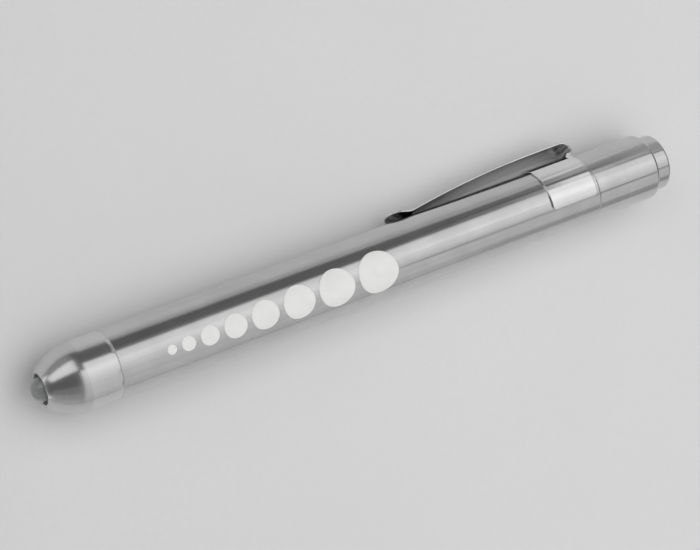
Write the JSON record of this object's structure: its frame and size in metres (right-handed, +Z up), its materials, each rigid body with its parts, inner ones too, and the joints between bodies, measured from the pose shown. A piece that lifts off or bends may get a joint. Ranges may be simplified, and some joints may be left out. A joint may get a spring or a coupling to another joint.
{
  "type": "penlight",
  "caption": "Slim aluminium penlight with a rounded nose around its lamp, a row of pupil-gauge dots, a sprung pocket clip and a push button in a screw-on tail cap.",
  "frame": {"origin": "on the barrel's axis, in the seam between the head and the barrel", "axes": "+X along the barrel from the lamp to the push button, +Z up with the penlight lying on its clip and barrel, +Y towards the side that the clip is on"},
  "size_m": [0.1466, 0.0175, 0.0148],
  "materials": {
    "barrel_aluminium": "satin, brushed along the axis and clear anodised",
    "nose_aluminium": "turned and bright anodised",
    "cap_aluminium": "satin anodised",
    "button_aluminium": "turned, satin anodised",
    "sleeve_aluminium": "turned thread, plain anodised",
    "clip_steel": "nickel-plated spring steel, polished",
    "gauge_ink": "pale grey-white printed ink",
    "led_epoxy": "clear cast epoxy",
    "lead_steel": "tinned steel lead frame",
    "white_nylon": "moulded white nylon",
    "black_nylon": "moulded black nylon",
    "board_laminate": "green solder mask on glass laminate",
    "solder": "tin solder",
    "brass": "turned brass",
    "seal_rubber": "moulded black nitrile rubber",
    "cell_can": "nickel-plated can",
    "cell_nub": "nickel-plated steel",
    "cell_wrap": "plain printed plastic sleeve",
    "spring_steel": "drawn spring wire"
  },
  "bodies": {
    "barrel": {"barrel": "barrel_aluminium", "gauge_dots": "gauge_ink", "clip_band": "clip_steel", "cell_front": "cell_can", "cell_front_nub": "cell_nub", "cell_front_wrap": "cell_wrap", "cell_rear": "cell_can", "cell_rear_nub": "cell_nub", "cell_rear_wrap": "cell_wrap"},
    "clip": {"clip_arm": "clip_steel"},
    "head_seal": {"head_oring": "seal_rubber"},
    "head": {"head_shell": "nose_aluminium", "led_lamp": "led_epoxy", "led_frame": "lead_steel", "led_holder": "white_nylon", "led_board": "board_laminate", "board_parts": "solder", "front_contact": "brass"},
    "cap_seal": {"cap_oring": "seal_rubber"},
    "cap": {"tail_cap": "cap_aluminium", "thread_sleeve": "sleeve_aluminium", "switch_housing": "black_nylon", "switch_contact": "brass", "tail_spring": "spring_steel", "return_spring": "spring_steel"},
    "button": {"push_button": "button_aluminium", "switch_plunger": "white_nylon", "plunger_tip": "brass"}
  },
  "joints": [
    {"name": "clip_flex", "type": "hinge", "parent": "barrel", "child": "clip", "pos_m": [0.11085, 0.0077, -0.00386], "axis": [0, -0.4485, -0.8938], "range_deg": [0, 6], "stiffness_Nm_per_rad": 1.5, "springref_deg": -2.01},
    {"name": "head_travel", "type": "slide", "parent": "barrel", "child": "head_seal", "axis": [-1, 0, 0], "range_m": [0, 0.004]},
    {"name": "head_turn", "type": "hinge", "parent": "head_seal", "child": "head", "pos_m": [0, 0, 0], "axis": [-1, 0, 0], "range_deg": [0, 1440]},
    {"name": "cap_travel", "type": "slide", "parent": "barrel", "child": "cap_seal", "axis": [1, 0, 0], "range_m": [0, 0.005]},
    {"name": "cap_turn", "type": "hinge", "parent": "cap_seal", "child": "cap", "pos_m": [0.1113, 0, 0], "axis": [1, 0, 0], "range_deg": [0, 1800]},
    {"name": "button_press", "type": "slide", "parent": "cap", "child": "button", "axis": [-1, 0, 0], "range_m": [0, 0.0016], "stiffness_N_per_m": 1500, "springref_m": -0.0006, "deforming": ["return_spring"]}
  ],
  "couplings": [
    {"joint": "head_travel", "follows": "head_turn", "m_per_rad": 0.00015915},
    {"joint": "cap_travel", "follows": "cap_turn", "m_per_rad": 0.00015915}
  ]
}
